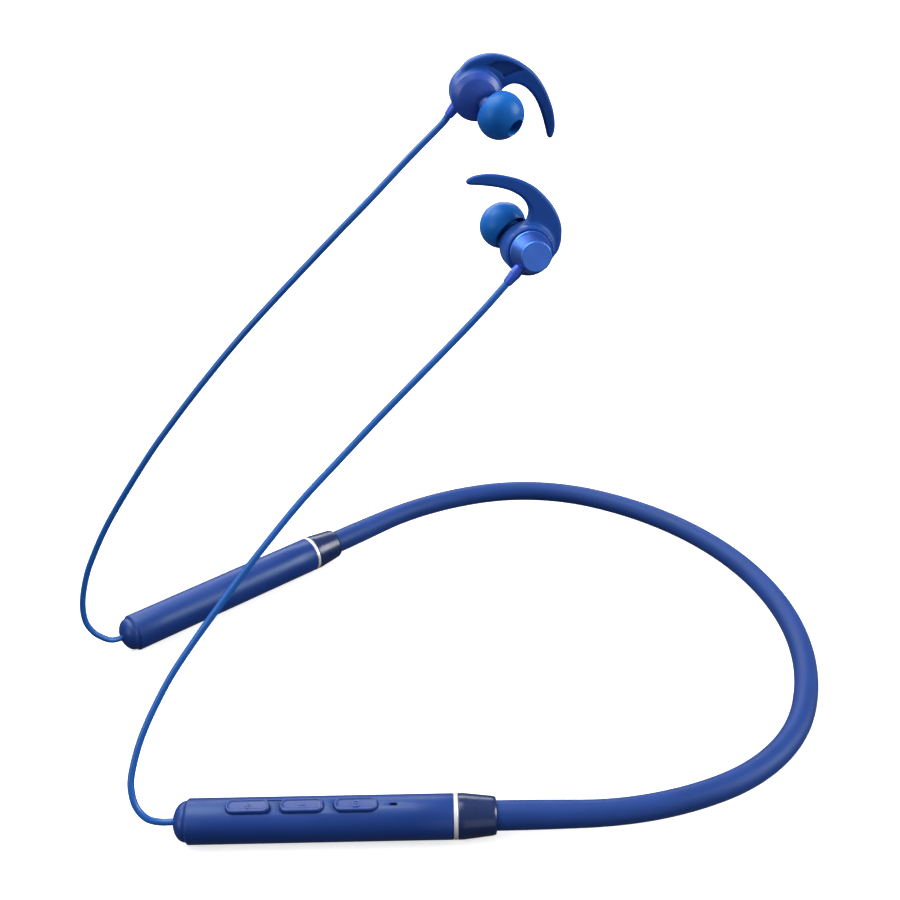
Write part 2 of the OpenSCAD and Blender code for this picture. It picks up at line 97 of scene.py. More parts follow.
NOZZLE_Z, NOZZLE_TURN, NOZZLE_LEAN = -1.4, -95, 45
NOZZLE_R, NOZZLE_BORE_R, NOZZLE_LEN = 2.6, 1.8, 11.85
CABLE_R = 0.95
BUDS = {
    "left": {"at": (-98.5, -25, 138.9), "turn": (-81.1, 46.7, 176.3)},
    "right": {"at": (-104.9, -5.8, 174.4), "turn": (80.8, 52.1, 158.6)},
}
ROUTES = {
    "left": [
        (-209, -42.4, 0), (-212, -41, 1), (-214, -39, 3.5), (-214.6, -37, 7),
        (-213.8, -34.8, 11.5), (-210, -32, 20), (-204, -29.6, 29.5), (-196.5, -28, 39.5),
        (-181, -26, 57), (-170, -25.3, 69), (-160.5, -25.2, 79), (-150.5, -25.5, 88.5),
        (-140, -26, 98.5), (-129.5, -27, 108.5), (-119.5, -28, 118), (-112.3, -29.6, 125.8)],
    "right": [
        (-208.9, 42.7, 0.7), (-211.7, 42.3, 2.8), (-214.4, 42.4, 5.9), (-216, 42.6, 10.4),
        (-215.9, 42.4, 17), (-214.1, 41.2, 25.5), (-211.3, 39.8, 33.5), (-204.6, 36.3, 48.1),
        (-192.5, 29.8, 69.5), (-183.8, 25.3, 82.9), (-174.7, 21, 95.7), (-165.4, 16.6, 108),
        (-155.5, 12.3, 119.9), (-140.3, 6.7, 136.8), (-130.1, 4.3, 147.1), (-119.4, 3, 157.5),
        (-110.8, 2.9, 164.9)],
}
ARM = {"left": "control_arm", "right": "battery_arm"}
SIDE = {"left": LEFT, "right": RIGHT}
FIN_OUTLINE = [
    (3, 4.6), (1.2, 5.9), (-0.8, 6.4), (-3, 6.75), (-5, 6.6), (-6.9, 5.7), (-8.6, 4.4),
    (-10, 3), (-11.2, 1), (-12, -1), (-12.6, -3.5), (-12.85, -6.2), (-12.8, -9),
    (-12.1, -12), (-11.2, -14.3), (-10.1, -16.4), (-8.9, -18.4), (-7.6, -20.1),
    (-6.2, -21.6), (-4.8, -22.7), (-3.6, -23.3), (-2.7, -23.4), (-2.2, -22.9),
    (-2.4, -22.1), (-3.4, -20.8), (-4.7, -19), (-5.9, -17.2), (-7, -15.3), (-7.9, -13.3),
    (-8.45, -11.2), (-8.6, -9.3), (-8.2, -7.4), (-7.3, -6), (-5.9, -5.2), (-4.2, -4.7),
    (-2.8, -4.4)]


def polar(r, a):
    return np.array([r * math.cos(math.radians(a)), r * math.sin(math.radians(a))])


SIDE_FROM = NAPE_HALF
SHOULDER_FROM = SIDE_FROM + SIDE_ANGLE
TUBE_TURN = SHOULDER_FROM + SHOULDER_ANGLE
NAPE_C = np.array([TUBE_R - NAPE_R, 0.0])
SIDE_C = NAPE_C + polar(NAPE_R - SIDE_R, SIDE_FROM)
SHOULDER_C = SIDE_C + polar(SIDE_R - SHOULDER_R, SHOULDER_FROM)
STRAIGHT_FROM = SHOULDER_C + polar(SHOULDER_R, TUBE_TURN)
OUT = polar(1, TUBE_TURN + 90)
POD_AT = STRAIGHT_FROM + STRAIGHT * OUT


def scaled(frame_mm):
    """A frame whose place is given in millimetres, in metres."""
    m = frame_mm.copy()
    m.translation = m.translation * MM
    return m


def pod_frame(side):
    """Along the pod: x from the collar's mouth to the cap, z up."""
    return scaled(Matrix.Translation((POD_AT[0], side * POD_AT[1], 0)) @ Matrix.Rotation(
        math.radians(180 + side * (TUBE_TURN - 90)), 4, "Z"))


def bud_frame(which):
    turn = [math.radians(v) for v in BUDS[which]["turn"]]
    return scaled(Matrix.Translation(BUDS[which]["at"]) @ Matrix.Rotation(turn[2], 4, "Z")
                  @ Matrix.Rotation(turn[1], 4, "Y") @ Matrix.Rotation(turn[0], 4, "X"))


def nozzle_frame(which):
    return (bud_frame(which) @ Matrix.Translation((0, 0, NOZZLE_Z * MM))
            @ Matrix.Rotation(math.radians(NOZZLE_TURN), 4, "Z")
            @ Matrix.Rotation(math.radians(180 - NOZZLE_LEAN), 4, "Y"))


# ---- materials ----


def node_material(name, color, rough, metallic=0.0, mottle=0.07, patch=40, grain=2500,
                  bump=0.02, depth=0.00002, stretch=(1, 1, 1), rough_spread=0.06, **sockets):
    """A Principled material: patches and grain move its colour, roughness and height."""
    mat = bpy.data.materials.new(name)
    mat.use_nodes = True
    nodes, links = mat.node_tree.nodes, mat.node_tree.links
    shader = nodes["Principled BSDF"]
    place = nodes.new("ShaderNodeTexCoord")
    space = nodes.new("ShaderNodeMapping")
    space.inputs["Scale"].default_value = stretch
    links.new(place.outputs["Object"], space.inputs["Vector"])

    def noise(scale, detail):
        n = nodes.new("ShaderNodeTexNoise")
        n.inputs["Scale"].default_value = scale
        n.inputs["Detail"].default_value = detail
        links.new(space.outputs["Vector"], n.inputs["Vector"])
        return n.outputs["Fac"]

    def spread(value, low, high):
        m = nodes.new("ShaderNodeMapRange")
        m.inputs["From Min"].default_value = 0.3
        m.inputs["From Max"].default_value = 0.7
        m.inputs["To Min"].default_value = low
        m.inputs["To Max"].default_value = high
        links.new(value, m.inputs["Value"])
        return m.outputs["Result"]

    def mixed(kind, factor, a, b):
        m = nodes.new("ShaderNodeMix")
        m.data_type, m.blend_type = "RGBA", kind
        for socket, value in (("Factor", factor), ("A", a), ("B", b)):
            at = next(s for s in m.inputs if s.name == socket and s.enabled)
            if isinstance(value, (tuple, float, int)):
                at.default_value = value
            else:
                links.new(value, at)
        return next(s for s in m.outputs if s.enabled)

    patches, grains = noise(patch, 3), noise(grain, 2)
    dark = tuple(c * (1 - mottle) for c in color) + (1.0,)
    light = tuple(min(1, c * (1 + mottle)) for c in color) + (1.0,)
    base = mixed("MIX", spread(patches, 0.0, 1.0), dark, light)
    grained = mixed("MULTIPLY", 0.35 * min(1, mottle * 6), base, spread_color(nodes, links, grains))
    links.new(grained, shader.inputs["Base Color"])
    links.new(spread(patches, rough - rough_spread, rough + rough_spread), shader.inputs["Roughness"])
    shader.inputs["Metallic"].default_value = metallic
    for socket, value in sockets.items():
        shader.inputs[socket.replace("_", " ")].default_value = value
    relief = nodes.new("ShaderNodeBump")
    relief.inputs["Strength"].default_value = bump
    relief.inputs["Distance"].default_value = depth
    links.new(grains, relief.inputs["Height"])
    links.new(relief.outputs["Normal"], shader.inputs["Normal"])
    return mat


def spread_color(nodes, links, value):
    """A light grey to white, from a noise value."""
    ramp = nodes.new("ShaderNodeValToRGB")
    ramp.color_ramp.elements[0].position, ramp.color_ramp.elements[1].position = 0.3, 0.7
    ramp.color_ramp.elements[0].color = (0.7, 0.7, 0.7, 1)
    ramp.color_ramp.elements[1].color = (1, 1, 1, 1)
    links.new(value, ramp.inputs["Fac"])
    return ramp.outputs["Color"]


def add_rings(mat, along, pitch, strength, height=0.00002):
    """Turned lines: bands round the x axis's stations, or circles about the z axis."""
    nodes, links = mat.node_tree.nodes, mat.node_tree.links
    old = next(n for n in nodes if n.type == "BUMP")
    place = next(n for n in nodes if n.type == "TEX_COORD")
    wave = nodes.new("ShaderNodeTexWave")
    wave.wave_type = "BANDS" if along else "RINGS"
    if along:
        wave.bands_direction = "X"
    else:
        wave.rings_direction = "Z"
    wave.inputs["Scale"].default_value = 1 / pitch
    wave.inputs["Distortion"].default_value = 0.3
    wave.inputs["Detail"].default_value = 1
    wave.inputs["Detail Scale"].default_value = 0.4 / pitch
    links.new(place.outputs["Object"], wave.inputs["Vector"])
    relief = nodes.new("ShaderNodeBump")
    relief.inputs["Strength"].default_value = strength
    relief.inputs["Distance"].default_value = height
    links.new(wave.outputs["Fac"], relief.inputs["Height"])
    links.new(old.outputs["Normal"], relief.inputs["Normal"])
    links.new(relief.outputs["Normal"], nodes["Principled BSDF"].inputs["Normal"])
    return mat


M = {
    "tube": node_material("tube_silicone", (0.010, 0.040, 0.209), 0.52, mottle=0.10, patch=60,
                          grain=3500, bump=0.25, depth=0.00003, Sheen_Weight=0.10,
                          Sheen_Roughness=0.4, Sheen_Tint=(0.4, 0.6, 1, 1),
                          Specular_IOR_Level=0.35, Specular_Tint=(0.6, 0.8, 1, 1)),
    "pod": node_material("pod_coating", (0.006, 0.034, 0.202), 0.40, mottle=0.09, patch=90,
                         grain=5000, bump=0.22, depth=0.00002, stretch=(0.35, 1, 1),
                         rough_spread=0.08, Specular_IOR_Level=0.5,
                         Specular_Tint=(0.7, 0.88, 1, 1)),
    "button": node_material("button_plastic", (0.007, 0.040, 0.223), 0.34, mottle=0.06, patch=120,
                            grain=5000, bump=0.12, depth=0.00002),
    "collar": add_rings(node_material("collar_satin", (0.004, 0.018, 0.089), 0.27, mottle=0.12,
                                      patch=120, grain=4000, bump=0.10, depth=0.00002,
                                      Specular_IOR_Level=0.65), True, 0.0011, 0.05),
    "ring": node_material("ring_bright", (0.80, 0.81, 0.83), 0.32, metallic=0.35, mottle=0.02,
                          patch=200, grain=3000, bump=0.04, rough_spread=0.05),
    "metal": add_rings(node_material("bud_metal", (0.068, 0.202, 0.776), 0.36, metallic=0.85,
                                     mottle=0.03, patch=300, grain=4000, bump=0.004,
                                     rough_spread=0.02, Anisotropic=0.5), False, 0.0012, 0.04),
    "boot": node_material("boot_plastic", (0.021, 0.089, 0.604), 0.32, mottle=0.06, patch=200,
                          grain=4000, bump=0.10),
    "cable": node_material("cable_jacket", (0.007, 0.107, 0.445), 0.36, mottle=0.06, patch=50,
                           grain=3000, bump=0.10, Specular_IOR_Level=0.5),
    "front": node_material("front_shell", (0.016, 0.068, 0.392), 0.36, mottle=0.08, patch=180,
                           grain=4000, bump=0.12),
    "tip": node_material("tip_silicone", (0.004, 0.117, 0.468), 0.38, mottle=0.07, patch=150,
                         grain=3500, bump=0.12, Subsurface_Weight=0.25,
                         Subsurface_Radius=(0.0003, 0.0006, 0.0012), Subsurface_Scale=1.0,
                         Sheen_Weight=0.06, Sheen_Tint=(0.4, 0.7, 1, 1), Specular_IOR_Level=0.35,
                         Specular_Tint=(0.5, 0.8, 1, 1)),
    "fin": node_material("fin_silicone", (0.005, 0.054, 0.314), 0.44, mottle=0.08, patch=150,
                         grain=3500, bump=0.20, depth=0.00003, Sheen_Weight=0.12,
                         Sheen_Tint=(0.4, 0.65, 1, 1), Specular_IOR_Level=0.35,
                         Specular_Tint=(0.5, 0.8, 1, 1)),
    "dark": node_material("inside_dark", (0.012, 0.013, 0.016), 0.6, mottle=0.2, patch=200),
    "steel": node_material("plain_steel", (0.62, 0.63, 0.65), 0.30, metallic=1.0, mottle=0.06,
                           patch=300, grain=4000, bump=0.1, stretch=(0.2, 1, 1)),
    "grey": node_material("moulded_grey", (0.09, 0.09, 0.10), 0.5, mottle=0.12, patch=200, bump=0.2),
    "board": node_material("solder_mask", (0.010, 0.11, 0.045), 0.35, mottle=0.35, patch=700,
                           grain=2000, bump=0.2),
    "membrane": node_material("clear_silicone", (0.55, 0.57, 0.6), 0.45, mottle=0.05, bump=0.1),
    "cell": node_material("cell_wrap", (0.10, 0.20, 0.36), 0.3, mottle=0.06, patch=80, bump=0.1),
    "foam": node_material("pad_foam", (0.02, 0.02, 0.02), 0.85, mottle=0.3, grain=6000, bump=0.8,
                          depth=0.0001),
    "lead": node_material("lead_insulation", (0.42, 0.02, 0.015), 0.4, mottle=0.08, bump=0.1),
    "magnet": node_material("nickel_plate", (0.66, 0.65, 0.62), 0.2, metallic=1.0, mottle=0.03),
    # The marks are the button's own blue; this lighter blue is a painted highlight on their raised faces.
    "mark": node_material("raised_mark_painted_highlight", (0.020, 0.075, 0.290), 0.42, mottle=0.06, patch=120,
                          grain=5000, bump=0.1),
    "mesh": node_material("woven_mesh", (0.035, 0.035, 0.04), 0.5, metallic=0.6, mottle=0.4,
                          patch=6000, grain=9000, bump=0.8, depth=0.00005),
}

# ---- mesh helpers: all take millimetres ----


def piece(name, verts, faces, mat, body, at=None, slot=None, stands_for=(), smooth=True):
    """One closed piece, in the frame given by at, riding on a body."""
    mesh = bpy.data.meshes.new(name)
    mesh.from_pydata([tuple(float(c) * MM for c in v) for v in verts], [], faces)
    bm = bmesh.new()
    bm.from_mesh(mesh)
    bmesh.ops.remove_doubles(bm, verts=bm.verts, dist=1e-7)
    bmesh.ops.recalc_face_normals(bm, faces=bm.faces)
    bm.to_mesh(mesh)
    bm.free()
    obj = bpy.data.objects.new(name, mesh)
    scene.collection.objects.link(obj)
    obj.matrix_world = at if at is not None else Matrix.Identity(4)
    finish_piece(obj, mat, body, stands_for, smooth)
    return obj


def finish_piece(obj, mat, body, stands_for, smooth=True):
    obj.data.materials.clear()
    obj.data.materials.append(M[mat])
    if smooth:
        obj.data.set_sharp_from_angle(angle=math.radians(38))
        for p in obj.data.polygons:
            p.use_smooth = True
    if body:
        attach(obj, body)
    if stands_for:
        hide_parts(*stands_for)


def lathe(profile, turns=72, along_x=False, from_angle=None, to_angle=None):
    """A closed profile of (radius, height) turned about z, or about x with height along it."""
    verts, faces, n = [], [], len(profile)
    whole = from_angle is None
    steps = turns if whole else turns + 1
    for i in range(steps):
        a = 2 * math.pi * i / turns if whole else math.radians(
            from_angle + (to_angle - from_angle) * i / turns)
        for r, h in profile:
            verts.append((h, r * math.sin(a), -r * math.cos(a)) if along_x
                         else (r * math.cos(a), r * math.sin(a), h))
    for i in range(steps if whole else turns):
        k = (i + 1) % steps
        for j in range(n):
            q = (j + 1) % n
            faces.append((i * n + j, i * n + q, k * n + q, k * n + j))
    if not whole:
        faces.append(tuple(range(n)))
        faces.append(tuple((steps - 1) * n + j for j in range(n)))
    return verts, faces


def rounded(points, radius, steps=3):
    """A polyline's corners rounded: each inner corner becomes an arc of points."""
    out = [points[0]]
    for a, b, c in zip(points, points[1:], points[2:]):
        a, b, c = (np.array(p, float) for p in (a, b, c))
        r = min(radius, np.linalg.norm(a - b) / 2.2, np.linalg.norm(c - b) / 2.2)
        p, q = b + r * (a - b) / np.linalg.norm(a - b), b + r * (c - b) / np.linalg.norm(c - b)
        for i in range(steps + 1):
            t = i / steps
            out.append(tuple((1 - t) ** 2 * p + 2 * t * (1 - t) * b + t * t * q))
    out.append(points[-1])
    return out


def catmull(points, per):
    p = [np.array(v, float) for v in points]
    out = []
    for i in range(len(p) - 1):
        a, b, c, d = p[max(i - 1, 0)], p[i], p[i + 1], p[min(i + 2, len(p) - 1)]
        for k in range(per):
            f = k / per
            out.append(0.5 * (2 * b + (c - a) * f + (2 * a - 5 * b + 4 * c - d) * f * f
                              + (3 * b - a - 3 * c + d) * f ** 3))
    out.append(p[-1])
    return out


def tube(path, radii, sides, up=(0, 0, 1), first=None, last=None):
    """A closed round tube along the path; radii is one radius or one for each point."""
    path = [np.array(p, float) for p in path]
    n = len(path)
    radii = radii if hasattr(radii, "__len__") else [radii] * n
    verts, faces, side = [], [], None
    for i, p in enumerate(path):
        t = path[min(i + 1, n - 1)] - path[max(i - 1, 0)]
        if i == 0 and first is not None:
            t = np.array(first, float)
        if i == n - 1 and last is not None:
            t = np.array(last, float)
        t = t / np.linalg.norm(t)
        side = np.cross(t, up) if side is None else side - t * np.dot(side, t)
        side = side / np.linalg.norm(side)
        b = np.cross(t, side)
        for k in range(sides):
            a = 2 * math.pi * k / sides
            verts.append(p + radii[i] * (math.cos(a) * side + math.sin(a) * b))
    for i in range(n - 1):
        for k in range(sides):
            q = (k + 1) % sides
            faces.append((i * sides + k, i * sides + q, (i + 1) * sides + q, (i + 1) * sides + k))
    faces.append(tuple(range(sides)))
    faces.append(tuple((n - 1) * sides + k for k in range(sides)))
    return verts, faces


def stadium_ring(length, width, inset, z, n=12):
    """Points round a slot with round ends, set in from its edge."""
    r, half = width / 2 - inset, (length - width) / 2
    pts = [(half + r * math.cos(a), r * math.sin(a), z) for a in np.linspace(-math.pi / 2, math.pi / 2, n)]
    return pts + [(-x, -y, z) for x, y, z in pts]


def loft(rings):
    """Closed solid through rings of equal point counts, with flat ends."""
    n = len(rings[0])
    verts = [v for ring in rings for v in ring]
    faces = []
    for i in range(len(rings) - 1):
        for k in range(n):
            q = (k + 1) % n
            faces.append((i * n + k, i * n + q, (i + 1) * n + q, (i + 1) * n + k))
    faces.append(tuple(range(n)))
    faces.append(tuple((len(rings) - 1) * n + k for k in range(n)))
    return verts, faces


def shifted(shape, dx=0, dy=0, dz=0):
    verts, faces = shape
    return [(v[0] + dx, v[1] + dy, v[2] + dz) for v in verts], faces


def joined(*shapes):
    verts, faces = [], []
    for v, f in shapes:
        start = len(verts)
        verts += list(v)
        faces += [tuple(i + start for i in face) for face in f]
    return verts, faces


def raw_object(name, shape):
    mesh = bpy.data.meshes.new(name)
    mesh.from_pydata([tuple(float(c) * MM for c in v) for v in shape[0]], [], shape[1])
    bm = bmesh.new()
    bm.from_mesh(mesh)
    bmesh.ops.recalc_face_normals(bm, faces=bm.faces)
    bm.to_mesh(mesh)
    bm.free()
    obj = bpy.data.objects.new(name, mesh)
    scene.collection.objects.link(obj)
    return obj


def cut_piece(name, base, cutters, mat, body, at, stands_for, bevel=0.0):
    """base less each cutter, with its edges softened, as one piece."""
    obj = raw_object(name, base)
    tools = []
    for i, c in enumerate(cutters):
        tool = raw_object(f"{name}_tool_{i}", c)
        tools.append(tool)
        m = obj.modifiers.new(f"cut_{i}", "BOOLEAN")
        m.operation, m.solver, m.object = "DIFFERENCE", "EXACT", tool
    if bevel:
        b = obj.modifiers.new("edges", "BEVEL")
        b.width, b.segments, b.limit_method, b.angle_limit = bevel * MM, 2, "ANGLE", math.radians(40)
        b.use_clamp_overlap = True
    graph = bpy.context.evaluated_depsgraph_get()
    mesh = bpy.data.meshes.new_from_object(obj.evaluated_get(graph))
    obj.modifiers.clear()
    obj.data = mesh
    for tool in tools:
        bpy.data.objects.remove(tool)
    obj.matrix_world = at
    finish_piece(obj, mat, body, stands_for)
    return obj


# ---- cables, from the cap exits to the boots ----


def cable(which):
    side = SIDE[which]
    exit_at = POD_AT + TIP_U * OUT
    bud = bud_frame(which)
    boot_end = np.array(bud @ Vector((BOOT_LEN * MM, 0, BOOT_Z * MM))) / MM
    boot_way = np.array(bud.to_3x3() @ Vector((-1, 0, 0)))
    ends = [(exit_at[0], side * exit_at[1], 0)] + ROUTES[which] + [tuple(boot_end)]
    path = catmull(ends, 12)
    verts, faces = tube(path, CABLE_R, 16, up=(0.3, 1, 0.1),
                        first=(OUT[0], side * OUT[1], 0), last=boot_way)
    obj = piece(f"{which}_cable_jacket", verts, faces, "cable", None)
    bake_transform(obj)
    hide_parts(f"{which}_cable")


for which in ("left", "right"):
    cable(which)

# ---- neck tube and what runs inside it ----


def plan(offset, reach, pitch=1.5):
    """Centreline of half the tube, from the nape to a place inside the right pod."""
    pts = []
    for centre, radius, start, angle in (
            (NAPE_C, NAPE_R, 0, NAPE_HALF), (SIDE_C, SIDE_R, SIDE_FROM, SIDE_ANGLE),
            (SHOULDER_C, SHOULDER_R, SHOULDER_FROM, SHOULDER_ANGLE)):
        n = max(2, round(angle / pitch))
        pts += [centre + polar(radius + offset, start + angle * i / n) for i in range(n)]
    sideways = offset * polar(1, TUBE_TURN)
    n = max(2, round((STRAIGHT + reach) / 2))
    pts += [STRAIGHT_FROM + sideways + (STRAIGHT + reach) * i / n * OUT for i in range(n + 1)]
    return pts


def half_strand(name, side, offset, reach, radius, sides, mat, stands_for, swell=0.0):
    pts = plan(offset, reach)
    steps = np.r_[0, np.cumsum([np.linalg.norm(b - a) for a, b in zip(pts, pts[1:])])]
    before_collar = steps[-1] - reach - steps
    grow = np.clip(1 - (before_collar - 4) / 30, 0, 1)
    radii = radius + swell * grow * grow * (3 - 2 * grow)
    path = [(p[0], side * p[1], 0) for p in pts]
    verts, faces = tube(path, list(radii), sides, first=(0, side, 0))
    obj = piece(name, verts, faces, mat, None)
    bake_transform(obj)
    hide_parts(*stands_for)
    return obj


for which, side in SIDE.items():
    half_strand(f"{which}_neck_tube", side, 0, 4, TUBE_R, 40, "tube",
                ["nape_tube", f"{which}_flex_tube", f"{which}_arm_tube"], TUBE_END_R - TUBE_R)
    half_strand(f"{which}_spring_wire", side, -1.2, 6, 0.6, 10, "steel", ["memory_wire"])
    half_strand(f"{which}_wire_bundle", side, 0.8, 9, 0.9, 12, "dark",
                ["signal_harness"])

# ---- pods ----

CAP_DOME = [(DOME_R * math.cos(a), DOME_LEN * math.sin(a) / math.sin(math.acos(CAP_FLAT_R / DOME_R)))
            for a in np.linspace(0.05, math.acos(1.45 / DOME_R), 14)]


def pod_shell_profile():
    return rounded([(BORE_R, CAP_U - 0.02), (BORE_R, SHELL_U + 0.02), (POD_R - 0.12, SHELL_U + 0.02),
                    (POD_R, SHELL_U + 0.22)], 0.1) + rounded(
        [(POD_R, CAP_U - 0.75), (POD_R - 0.04, CAP_U - 0.6), (DOME_R + 0.06, CAP_U - 0.05),
         (DOME_R + 0.02, CAP_U - 0.02)], 0.2, 4)


def long_profile(profile, stations):
    """The profile with extra stations along its straight outer wall."""
    out = []
    for a, b in zip(profile, profile[1:] + profile[:1]):
        out.append(a)
        if abs(a[1] - b[1]) > 10:
            out += [(a[0] + (b[0] - a[0]) * t, a[1] + (b[1] - a[1]) * t)
                    for t in np.linspace(0, 1, stations + 2)[1:-1]]
    return out


def shared_pod_parts(which, prefix):
    at, body = pod_frame(SIDE[which]), ARM[which]
    collar = rounded([(BORE_R - 0.05, SHELL_U + 4), (3.0, SHELL_U + 4), (3.0, 4.05),
                      (TUBE_END_R + 0.04, 4.0), (TUBE_END_R + 0.04, 0.35),
                      (TUBE_END_R + 0.45, 0.0), (4.75, 0.0), (5.12, 0.7), (POD_R, RING_U - 1.6),
                      (POD_R + 0.02, RING_U - 0.15), (POD_R - 0.15, RING_U), (BORE_R - 0.05, RING_U)],
                     0.35, 4)
    piece(f"{prefix}_collar_turned", *lathe(collar, 96, True), "collar", body, at,
          "collar_navy", [f"{prefix}_collar"])
    ring = rounded([(BORE_R, RING_U), (POD_R - 0.12, RING_U), (POD_R + 0.03, RING_U + 0.18),
                    (POD_R + 0.03, SHELL_U - 0.18), (POD_R - 0.12, SHELL_U), (BORE_R, SHELL_U)],
                   0.08, 3)
    piece(f"{prefix}_ring_turned", *lathe(ring, 96, True), "ring", body, at,
          "ring_silver", [f"{prefix}_ring"])
    cap = [(r, CAP_U + h) for r, h in [(BORE_R - 0.05, -4), (BORE_R - 0.05, 0.0),
                                       (DOME_R - 0.08, 0.0)] + CAP_DOME
           + [(1.42, DOME_LEN - 0.02), (1.1, DOME_LEN - 0.1), (1.0, DOME_LEN - 0.25), (1.0, 1.0),
              (BORE_R - 1.2, 0.6), (BORE_R - 1.2, -4)]]
    piece(f"{prefix}_cap_domed", *lathe(cap, 96, True), "pod", body, at,
          "pod_blue", [f"{prefix}_end_cap"])


shared_pod_parts("left", "control")
shared_pod_parts("right", "battery")

pod_left, pod_right = pod_frame(LEFT), pod_frame(RIGHT)
pod_control = pod_left @ Matrix.Rotation(math.radians(-CONTROL_ROLL), 4, "X")
shell = long_profile(pod_shell_profile(), 6)
piece("battery_shell_moulded", *lathe(shell, 96, True), "pod", "battery_arm", pod_right,
      "pod_blue", ["battery_shell"])

hole_w, hole_len = BUTTON_W + 0.3, BUTTON_LEN + 0.3


def slot_cut(length, width, z0, z1, u):
    return shifted(loft([stadium_ring(length, width, 0, z0), stadium_ring(length, width, 0, z1)]), u)


def box_shape(x0, x1, y0, y1, z0, z1):
    ring = [(x0, y0), (x1, y0), (x1, y1), (x0, y1)]
    return loft([[(x, y, z0) for x, y in ring], [(x, y, z1) for x, y in ring]])


def port_cut(gap, y0, y1):
    """The socket's outline as a bar along y."""
    verts, faces = loft([stadium_ring(8.94 + 2 * gap, 3.2 + 2 * gap, 0, y0),
                         stadium_ring(8.94 + 2 * gap, 3.2 + 2 * gap, 0, y1)])
    return [(x + PORT_U, z, y + PORT_Z) for x, y, z in verts], faces


cover_recess = lathe([(5.45, PORT_U - 6.5), (7, PORT_U - 6.5), (7, PORT_U + 6.5), (5.45, PORT_U + 6.5)],
                     24, True, -106, -50)
shell_cuts = [slot_cut(hole_len, hole_w, 3, 9, u) for u in BUTTON_US]
shell_cuts.append(box_shape(BUTTON_US[1], BUTTON_US[0], -hole_w / 2 + 0.02, hole_w / 2 - 0.02, 5.3, 9))
shell_cuts.append(slot_cut(2.1, 0.9, 4, 9, MIC_U))
shell_cuts += [cover_recess, port_cut(0.1, -8, -3)]
cut_piece("control_shell_moulded", lathe(shell, 128, True), shell_cuts, "pod", "control_arm",
          pod_control, ["control_shell"], bevel=0.09)


def button_shape(u):
    rings = [(-0.45, 3.7), (-0.45, 4.2), (0.0, 4.2), (0.0, 6.3), (0.04, 6.45), (0.14, 6.6),
             (0.28, 6.68), (0.42, 6.7), (0.54, 6.67), (0.66, 6.58), (0.78, 6.5), (0.95, 6.46),
             (1.3, 6.45)]
    return shifted(loft([stadium_ring(BUTTON_LEN, BUTTON_W, inset, z) for inset, z in rings]), u)


def bar(x0, x1, y0, y1, z0=6.3, z1=6.62):
    r = 0.06
    rings = []
    for inset, z in ((0, z0), (0, z1 - r), (r * 0.4, z1 - r * 0.3), (r, z1)):
        rings.append([(x0 + inset, y0 + inset, z), (x1 - inset, y0 + inset, z),
                      (x1 - inset, y1 - inset, z), (x0 + inset, y1 - inset, z)])
    return loft(rings)


def mark(kind, u):
    if kind == "plus":
        return shifted(joined(bar(-0.85, 0.85, -0.16, 0.16), bar(-0.16, 0.16, -0.85, 0.85, 6.3, 6.621)), u)
    if kind == "minus":
        return shifted(bar(-0.95, 0.95, -0.17, 0.17), u)
    ring = lathe(rounded([(0.62, 6.3), (0.62, 6.6), (0.72, 6.66), (0.92, 6.66), (1.02, 6.6),
                          (1.02, 6.3)], 0.05, 2), 32)
    dot = lathe([(0.001, 6.3), (0.3, 6.3), (0.3, 6.52), (0.2, 6.6), (0.001, 6.64)], 20)
    return shifted(joined(ring, dot), u)


for name, node, kind, u in (("volume_up", "volume_up_button", "plus", BUTTON_US[0]),
                            ("volume_down", "volume_down_button", "minus", BUTTON_US[1]),
                            ("power", "power_button", "circle", BUTTON_US[2])):
    piece(f"{name}_key", *button_shape(u), "button", name, pod_control, "button_blue", [node])
    # The marks take the lighter mark material, a painted highlight on their raised faces.
    piece(f"{name}_mark", *mark(kind, u), "mark", name, pod_control, "button_blue")

# The cover over the charging socket: a curved plate with a plug lip.
cover = [(5.5, PORT_U - COVER_LEN / 2), (POD_R - 0.12, PORT_U - COVER_LEN / 2),
         (POD_R - 0.02, PORT_U - COVER_LEN / 2 + 0.12), (POD_R - 0.02, PORT_U + COVER_LEN / 2 - 0.12),
         (POD_R - 0.12, PORT_U + COVER_LEN / 2), (5.5, PORT_U + COVER_LEN / 2)]
lip_verts, lip_faces = loft([stadium_ring(7.2, 1.5, inset, y) for inset, y in
                             ((0, -5.55), (0, -3.95), (0.1, -3.78), (0.3, -3.7))])
lip = ([(x + PORT_U, z, y + PORT_Z) for x, y, z in lip_verts], lip_faces)
piece("charging_cover_flap", *joined(lathe(cover, 24, True, COVER_FROM, COVER_TO), lip), "tube",
      "charging_cover", pod_control, "silicone_blue", ["port_cover"])

# ---- earbuds ----

CUP = rounded([(5.45, 0.7), (5.45, 4.5), (5.22, 4.75), (5.12, 5.2), (3.98, 9.62), (3.9, 9.8),
               (3.78, 9.95), (3.6, 10.0)], 0.12, 2)
FRONT_DOME = rounded([(5.5, 0.6), (5.5, -2.98), (6.2, -3.0), (6.25, -3.1), (6.25, -3.45), (5.95, -3.75),
                      (5.4, -4.3), (4.85, -4.8), (4.0, -5.15), (2.8, -5.5), (1.4, -5.7),
                      (0.001, -5.75), (0.001, -4.4), (3.5, -4.0), (4.8, -2.4), (4.8, 0.6)], 0.1, 2)
NECK = rounded([(NOZZLE_BORE_R, 2.5), (NOZZLE_R, 2.5), (NOZZLE_R, NOZZLE_LEN - 0.3),
                (2.4, NOZZLE_LEN), (NOZZLE_BORE_R, NOZZLE_LEN)], 0.12, 2)


